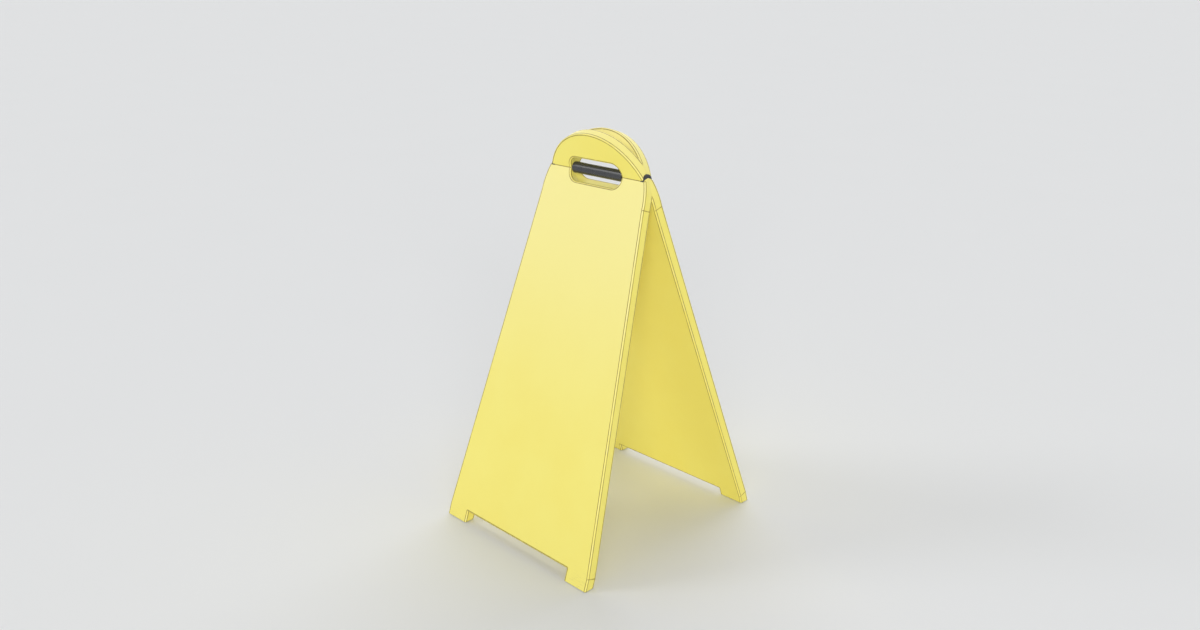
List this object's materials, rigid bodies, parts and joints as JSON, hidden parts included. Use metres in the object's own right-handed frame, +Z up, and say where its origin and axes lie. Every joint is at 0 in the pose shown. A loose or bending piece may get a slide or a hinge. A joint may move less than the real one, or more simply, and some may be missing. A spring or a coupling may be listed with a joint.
{
  "type": "floor warning sign",
  "caption": "Folding A-frame floor warning sign: moulded leaves with round heads, notched feet and a hand slot crossed by a carrying bar, hinged to fold flat.",
  "frame": {"origin": "on the floor, under the middle of the open sign", "axes": "+Z up, X along the carrying bar, front leaf towards -Y"},
  "size_m": [0.3266, 0.3892, 0.6358],
  "materials": {
    "leaf_plastic": "satin moulded",
    "grip_plastic": "matte moulded",
    "clamp_plastic": "matte moulded",
    "washer_nylon": "natural",
    "plated_steel": "zinc plated",
    "pad_rubber": "matte"
  },
  "bodies": {
    "front_leaf": {"front_leaf_shell": "leaf_plastic", "front_leg_cover": "leaf_plastic", "front_head_cover": "leaf_plastic", "front_hinge_screws": "plated_steel", "left_hinge_front_plate": "plated_steel", "right_hinge_front_plate": "plated_steel", "front_left_foot_pad": "pad_rubber", "front_right_foot_pad": "pad_rubber", "left_hinge_pin": "plated_steel", "right_hinge_pin": "plated_steel", "handle_rod": "plated_steel", "left_grip_washer": "washer_nylon", "right_grip_washer": "washer_nylon", "left_rod_cap": "grip_plastic", "right_rod_cap": "grip_plastic", "left_rod_clamp": "clamp_plastic", "right_rod_clamp": "clamp_plastic", "clamp_screws": "plated_steel"},
    "rear_leaf": {"rear_leaf_shell": "leaf_plastic", "rear_leg_cover": "leaf_plastic", "rear_head_cover": "leaf_plastic", "rear_hinge_screws": "plated_steel", "left_hinge_rear_plate": "plated_steel", "right_hinge_rear_plate": "plated_steel", "rear_left_foot_pad": "pad_rubber", "rear_right_foot_pad": "pad_rubber"},
    "grip": {"handle_grip": "grip_plastic"}
  },
  "joints": [
    {"name": "leaf_fold", "type": "hinge", "parent": "front_leaf", "child": "rear_leaf", "pos_m": [0, 0, 0.54282], "axis": [1, 0, 0], "range_deg": [-36, 0]},
    {"name": "grip_spin", "type": "hinge", "parent": "front_leaf", "child": "grip", "pos_m": [0, 0, 0.57163], "axis": [1, 0, 0], "continuous": true}
  ]
}
